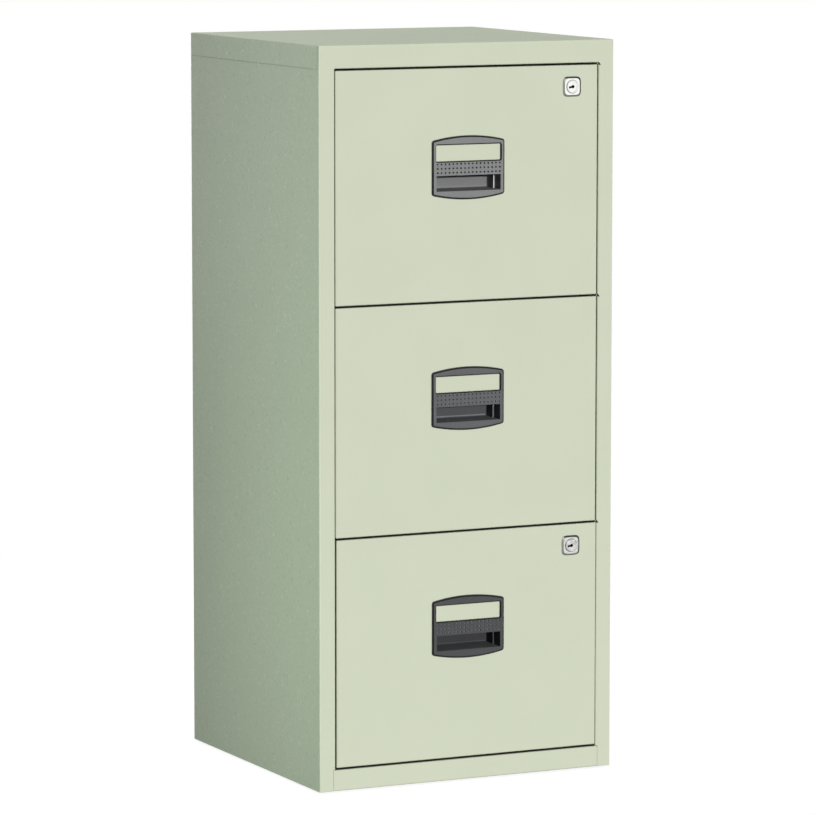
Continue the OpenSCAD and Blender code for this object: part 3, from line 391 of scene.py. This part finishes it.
def dress(piece, *materials):
    """Gives a piece these materials in place of those it has."""
    piece.data.materials.clear()
    for material in materials:
        piece.data.materials.append(material)


slots = {row["node"]: row["material_slot"] for row in frame["record"]["subparts"]}
for name, piece in nodes.items():
    if slots[name] != "handle_plastic":
        dress(piece, FINISH[slots[name]])
# Dark cross rails: painted shade behind the drawer gaps
dress(nodes["cross_rails"], RAIL_SHADE_PAINT)


# ---------------------------------------------------------------- detailed pieces

# The handles and locks, which alone take the shine of the key light
trim = bpy.data.collections.new("trim")
# How close two corners lie when they are one, in millimetres
MERGED = 0.001


def shell_of(node):
    """A copy of a CAD node's mesh with its doubles merged."""
    bm = bmesh.new()
    bm.from_mesh(nodes[node].data)
    for layers in (bm.loops.layers.float_vector, bm.loops.layers.uv):
        for layer in list(layers.values()):
            layers.remove(layer)
    bmesh.ops.remove_doubles(bm, verts=bm.verts, dist=mm(MERGED))
    return bm


# The angles in degrees above which an edge is a crease: the usual one, and one for gentle slopes
CREASE = 35
SLOPE_CREASE = 24


def finish_piece(bm, name, body, node, materials, crease=CREASE):
    """Puts a shell in the scene in place of its CAD node, smooth but for its creases."""
    mesh = bpy.data.meshes.new(name)
    for material in materials:
        mesh.materials.append(material)
    for edge in bm.edges:
        edge.smooth = True
    bm.to_mesh(mesh)
    bm.free()
    # The normals that came with the node no longer fit its merged corners
    if "custom_normal" in mesh.attributes:
        mesh.attributes.remove(mesh.attributes["custom_normal"])
    for polygon in mesh.polygons:
        polygon.use_smooth = True
    mesh.set_sharp_from_angle(angle=math.radians(crease))
    piece = bpy.data.objects.new(name, mesh)
    bpy.context.scene.collection.objects.link(piece)
    trim.objects.link(piece)
    # Broad flat faces keep their own direction beside narrow rounded ones
    flat = piece.modifiers.new("flat_faces", "WEIGHTED_NORMAL")
    flat.keep_sharp = True
    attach(piece, body)
    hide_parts(node)


def middle(node):
    """The middle of a node's box at rest."""
    low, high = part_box(node)
    return [(a + b) / 2 for a, b in zip(low, high)]


def between(value, low, high):
    """Whether a value in metres lies between two limits in millimetres."""
    return mm(low) < value < mm(high)


# How far a place may lie from its plane or line and still count as on it, in millimetres
NEAR = 0.1
CLOSE = 0.05
TOUCHING = 0.02
FLAT_ANGLE = math.radians(0.5)
# The share of a face's direction that lies along an axis when the face is square to that axis,
# leans a little, faces it more than not, and is just turned towards it
SQUARE = 0.98
LEANING = 0.75
FACING = 0.5
TURNED = 0.2

# The handle's depths from the drawer's face, and its outlines from its middle, in millimetres
BEZEL_PROUD = 2.4
RIM_PROUD = 0.5
CUP_MOUTH = 1
CUP_DEPTH = 34
CUP_HALF_WIDTH = 45.1
CUP_HEIGHTS = (-29.4, 3.6)
CUP_CORNER = 2
BAND_FOOT = -9.6
BAND_TOP = 6.9
FILLET_TOP = -26
LEDGE_DEPTH = 15.5
# The order of a handle's materials
FACE, EDGES, WALLS, LEDGES, DIMPLES, FLOORS, FILLETS = range(7)


def handle_cover(n):
    """The moulded handle: its thin rims and edges take near-black painted shade, its cup walls
    painted shade, its ledges and fillets painted highlights, its dimples and cup floors the painted
    tones given by drawer, and the cup's far wall meets the others in soft corners."""
    node = f"handle_{n}"
    low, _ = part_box(node)
    x, _, z = middle(node)
    origin = Vector((x, low[1] + mm(BEZEL_PROUD), z))
    bm = shell_of(node)

    def in_cup(vert):
        at = vert.co - origin
        return (abs(at.x) < mm(CUP_HALF_WIDTH) and between(at.z, *CUP_HEIGHTS)
                and between(at.y, CUP_MOUTH, CUP_DEPTH + NEAR))

    def on_far_wall(vert):
        return in_cup(vert) and abs(vert.co.y - origin.y - mm(CUP_DEPTH)) < mm(NEAR)

    bmesh.ops.dissolve_limit(bm, angle_limit=FLAT_ANGLE,
                             verts=[v for v in bm.verts if in_cup(v)],
                             edges=[e for e in bm.edges if all(in_cup(v) for v in e.verts)])
    far = [e for e in bm.edges if all(on_far_wall(v) for v in e.verts)]
    bmesh.ops.bevel(bm, geom=far, offset=mm(CUP_CORNER), offset_type="OFFSET", segments=4,
                    profile=0.5, affect="EDGES", material=-1)
    for face in bm.faces:
        at = face.calc_center_median() - origin
        normal = face.normal
        sunk = at.y > mm(CLOSE)
        across = abs(at.x) < mm(CUP_HALF_WIDTH)
        in_bezel = between(at.y, TOUCHING - BEZEL_PROUD, TOUCHING)
        on_rim = abs(at.y + mm(RIM_PROUD)) < mm(TOUCHING)
        in_mouth = across and between(at.z, CUP_HEIGHTS[0], BAND_FOOT - CLOSE)
        on_ledge = across and abs(at.y - mm(LEDGE_DEPTH)) < mm(NEAR)
        on_band = across and in_bezel and between(at.z, BAND_FOOT + NEAR, BAND_TOP)
        on_fillet = (at.y > mm(CUP_DEPTH - CUP_CORNER)
                     and between(at.z, CUP_HEIGHTS[0], FILLET_TOP) and normal.y < -TURNED)
        if on_band:
            face.material_index = DIMPLES
        elif on_ledge:
            face.material_index = LEDGES
        elif on_fillet:
            face.material_index = FILLETS
        elif in_mouth and sunk and normal.z > FACING:
            face.material_index = FLOORS
        elif sunk or (in_mouth and abs(normal.x) > FACING):
            face.material_index = WALLS
        elif on_rim or (in_bezel and normal.y > -LEANING):
            face.material_index = EDGES
        else:
            face.material_index = FACE
    finish_piece(bm, f"handle_cover_{n}", f"drawer_{n}", node,
                 (ABS[n], SHADE, CUP_SHADE[n], LEDGE_HIGHLIGHT[n], DIMPLE_LIGHT_AND_SHADE[n], PAINTED_CUP_FLOOR[n], FILLET_HIGHLIGHT[n]))


# The lock's depths from the drawer's face and its radii, in millimetres
COLLAR_PROUD = 3.5
PLATE_PROUD = 1.6
COLLAR_R = 8
GROOVE_R = 8.7
# The plate's slopes above and to the right of this line get the deeper painted shade
SHADE_LINE = 1
# The keyway's depth from the plug's front, and how far from its middle its edges and walls reach
KEYWAY_DEPTH = 7.5
KEYWAY_REACH = 5.6
KEYWAY_WALL = 6.1
MOUTH_ROUND = 0.45
MOUTH_ANGLE = math.radians(80)
# The order of a lock plate's materials, and of a plug's
POLISHED, SLOPES, SHADED_SLOPES = range(3)
PLUG_FRONT, PLUG_KEYWAY = range(2)


def lock_face(n):
    """The lock's plate and collar: polished faces, and bare slopes round them in painted shade with
    a painted reflection of the sage paint, darker above and on the right."""
    node = f"lock_housing_{n}"
    low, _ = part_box(node)
    x, _, z = middle(node)
    origin = Vector((x, low[1] + mm(COLLAR_PROUD), z))
    bm = shell_of(node)
    for face in bm.faces:
        at = face.calc_center_median() - origin
        out = math.hypot(at.x, at.z)
        polished = face.normal.y < -SQUARE and at.y < mm(CLOSE - PLATE_PROUD)
        collar = (out < mm(COLLAR_R + TOUCHING)
                  and between(at.y, -COLLAR_PROUD - NEAR, -PLATE_PROUD))
        shaded = at.z + at.x > mm(SHADE_LINE) and out > mm(GROOVE_R)
        if polished or collar:
            face.material_index = POLISHED
        else:
            face.material_index = SHADED_SLOPES if shaded else SLOPES
    finish_piece(bm, f"lock_face_{n}", f"drawer_{n}", node,
                 (NICKEL[n], SLOPE_SHADE_PALE, SLOPE_SHADE_DEEP), SLOPE_CREASE)


def lock_core(n):
    """The plug: a polished front, and a keyway in painted shade with its mouth rounded for the key.
    """
    node = f"lock_plug_{n}"
    low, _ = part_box(node)
    x, _, z = middle(node)
    bm = shell_of(node)

    def on_front(vert):
        return vert.co.y < low[1] + mm(TOUCHING)

    def on_mouth(vert):
        return on_front(vert) and math.hypot(vert.co.x - x, vert.co.z - z) < mm(KEYWAY_REACH)

    bmesh.ops.dissolve_limit(bm, angle_limit=FLAT_ANGLE,
                             verts=[v for v in bm.verts if on_front(v)],
                             edges=[e for e in bm.edges if all(on_front(v) for v in e.verts)])
    mouth = [e for e in bm.edges
             if all(on_mouth(v) for v in e.verts) and e.calc_face_angle(0) > MOUTH_ANGLE]
    bmesh.ops.bevel(bm, geom=mouth, offset=mm(MOUTH_ROUND), offset_type="OFFSET", segments=2,
                    profile=0.5, affect="EDGES", material=-1)
    for face in bm.faces:
        at = face.calc_center_median()
        inside = math.hypot(at.x - x, at.z - z) < mm(KEYWAY_WALL)
        deep = between(at.y - low[1], TOUCHING, KEYWAY_DEPTH)
        face.material_index = PLUG_KEYWAY if inside and deep else PLUG_FRONT
    finish_piece(bm, f"lock_core_{n}", f"lock_{n}", node,
                 (NICKEL[n], KEYWAY_SHADE))


for n in DRAWERS:
    handle_cover(n)
for n in LOCKED:
    lock_face(n)
    lock_core(n)


# ---------------------------------------------------------------- studio

WHITE = (1, 1, 1, 1)
AMBIENT = 0.12
# The floor near the cabinet is part lit, so that it takes a shadow, and part glowing
FLOOR_LIT, FLOOR_GLOW = (0.3, 0.3, 0.3, 1), 0.86
# What the cabinet itself gets back from the floor
FLOOR_BOUNCE = (0.2, 0.2, 0.2, 1)
FLOOR_HALF_WIDTH = 30
# The shadow fades out between these distances from the cabinet's middle, in metres
FADE_FROM, FADE_TO = 0.9, 1.8
# The tints of the side lamps and of the overhead one
GREENISH = (0.83, 1, 0.89)
SAGE_LIGHT = (0.89, 1, 0.76)


def seen_directly(tree):
    """1 for the eye's rays, and for those that metal or glass sends on."""
    path = add(tree, "ShaderNodeLightPath")
    sharp = add(tree, "ShaderNodeMath", {0: path.outputs["Is Camera Ray"],
                                         1: path.outputs["Is Glossy Ray"]}, operation="ADD")
    clear = add(tree, "ShaderNodeMath", {0: sharp.outputs[0],
                                         1: path.outputs["Is Transmission Ray"]}, operation="ADD")
    once = add(tree, "ShaderNodeMath", {0: clear.outputs[0], 1: 1}, operation="MINIMUM")
    return once.outputs[0]


def studio_floor():
    """A white floor that keeps the cabinet's soft shadow and fades into the white beyond."""
    bm = bmesh.new()
    bmesh.ops.create_grid(bm, x_segments=8, y_segments=8, size=FLOOR_HALF_WIDTH)
    mesh = bpy.data.meshes.new("studio_floor")
    bm.to_mesh(mesh)
    bm.free()
    floor = bpy.data.objects.new("studio_floor", mesh)
    bpy.context.scene.collection.objects.link(floor)

    material, tree, place = new_material("white_sweep")
    lit = add(tree, "ShaderNodeBsdfDiffuse", {"Color": FLOOR_LIT})
    glow = add(tree, "ShaderNodeEmission", {"Color": WHITE, "Strength": FLOOR_GLOW})
    both = add(tree, "ShaderNodeAddShader", {0: lit.outputs[0], 1: glow.outputs[0]})
    white = add(tree, "ShaderNodeEmission", {"Color": WHITE, "Strength": 1})
    away = add(tree, "ShaderNodeVectorMath", {0: place}, operation="LENGTH")
    far = add(tree, "ShaderNodeMapRange",
              {"Value": away.outputs["Value"], "From Min": FADE_FROM, "From Max": FADE_TO})
    near = add(tree, "ShaderNodeMixShader",
               {0: far.outputs[0], 1: both.outputs[0], 2: white.outputs[0]})
    plain = add(tree, "ShaderNodeBsdfDiffuse", {"Color": FLOOR_BOUNCE})
    mix = add(tree, "ShaderNodeMixShader",
              {0: seen_directly(tree), 1: plain.outputs[0], 2: near.outputs[0]})
    add(tree, "ShaderNodeOutputMaterial", {"Surface": mix.outputs[0]})
    mesh.materials.append(material)


def studio_world():
    """A little light from all round, and pure white where the eye or a mirror looks past the
    cabinet."""
    world = bpy.data.worlds.new("studio")
    bpy.context.scene.world = world
    world.use_nodes = True
    tree = world.node_tree
    tree.nodes.clear()
    soft = add(tree, "ShaderNodeBackground", {"Color": WHITE, "Strength": AMBIENT})
    white = add(tree, "ShaderNodeBackground", {"Color": WHITE, "Strength": 1})
    mix = add(tree, "ShaderNodeMixShader",
              {0: seen_directly(tree), 1: soft.outputs[0], 2: white.outputs[0]})
    add(tree, "ShaderNodeOutputWorld", {"Surface": mix.outputs[0]})


def lamp(name, size, power, at, target, colour=(1, 1, 1)):
    """A soft box of the given width and height in metres and power in watts, facing its target."""
    data = bpy.data.lights.new(name, "AREA")
    data.shape = "RECTANGLE"
    data.size, data.size_y = size
    data.energy = power
    data.color = colour
    obj = bpy.data.objects.new(name, data)
    bpy.context.scene.collection.objects.link(obj)
    obj.visible_camera = False
    obj.location = at
    obj.rotation_euler = (Vector(target) - Vector(at)).to_track_quat("-Z", "Y").to_euler()


def sun(name, strength, azimuth, elevation, softness, shine):
    """Even light from far in front, from the given side and height in degrees: either the shine
    on the handles and locks, or everything but shine."""
    data = bpy.data.lights.new(name, "SUN")
    data.energy = strength
    data.angle = math.radians(softness)
    obj = bpy.data.objects.new(name, data)
    bpy.context.scene.collection.objects.link(obj)
    turn, lift = math.radians(azimuth), math.radians(elevation)
    obj.visible_diffuse = not shine
    obj.visible_glossy = shine
    if shine:
        obj.light_linking.receiver_collection = trim
    towards = Vector((math.sin(turn) * math.cos(lift), -math.cos(turn) * math.cos(lift),
                      math.sin(lift)))
    obj.rotation_euler = (-towards).to_track_quat("-Z", "Y").to_euler()


# The camera's sensor and lens in millimetres, its place in metres, how far it looks down and how
# far it stands to the left in degrees, and its roll in radians
SENSOR, LENS = 36, 214.3
CAMERA_AT = (-2.72156, -5.64259, 1.22981)
LOOK_DOWN, STAND_LEFT, ROLL = 7.03, 25.84, -0.0004
VIEW_END = 200


def camera():
    """A long lens from the front and a little to the left."""
    data = bpy.data.cameras.new("camera")
    data.sensor_width = SENSOR
    data.lens = LENS
    data.clip_end = VIEW_END
    obj = bpy.data.objects.new("camera", data)
    bpy.context.scene.collection.objects.link(obj)
    obj.location = CAMERA_AT
    obj.rotation_euler = (math.radians(90 - LOOK_DOWN), ROLL, math.radians(-STAND_LEFT))
    bpy.context.scene.camera = obj


studio_floor()
studio_world()
# The key light's side, height and width, in degrees
KEY_FROM = (0, 8.7, 3)
sun("key", 2.84, *KEY_FROM, shine=False)
# On the paint, the shine would glare off the top towards the back
sun("key_shine", 2.74, *KEY_FROM, shine=True)
lamp("side_strip", (0.15, 2.6), 5.45, (-0.95, -0.15, 0.5), (0, -0.698, 0.5), GREENISH)
lamp("side_foot", (0.15, 0.3), 1.15, (-0.95, -0.15, 0.16), (0, -0.698, 0.16), GREENISH)
lamp("overhead", (1.0, 0.9), 5.9, (0, 0.3, 2.7), (0, 0.3, 0), SAGE_LIGHT)
lamp("right_fill", (0.6, 1.4), 8.5, (1.6, 0.15, 0.6), (0, 0.15, 0.6))
lamp("back_fill", (1.2, 1.0), 26, (0, 2.4, 0.8), (0, 0.2, 0.5))
camera()
bpy.context.scene.view_settings.view_transform = "Standard"
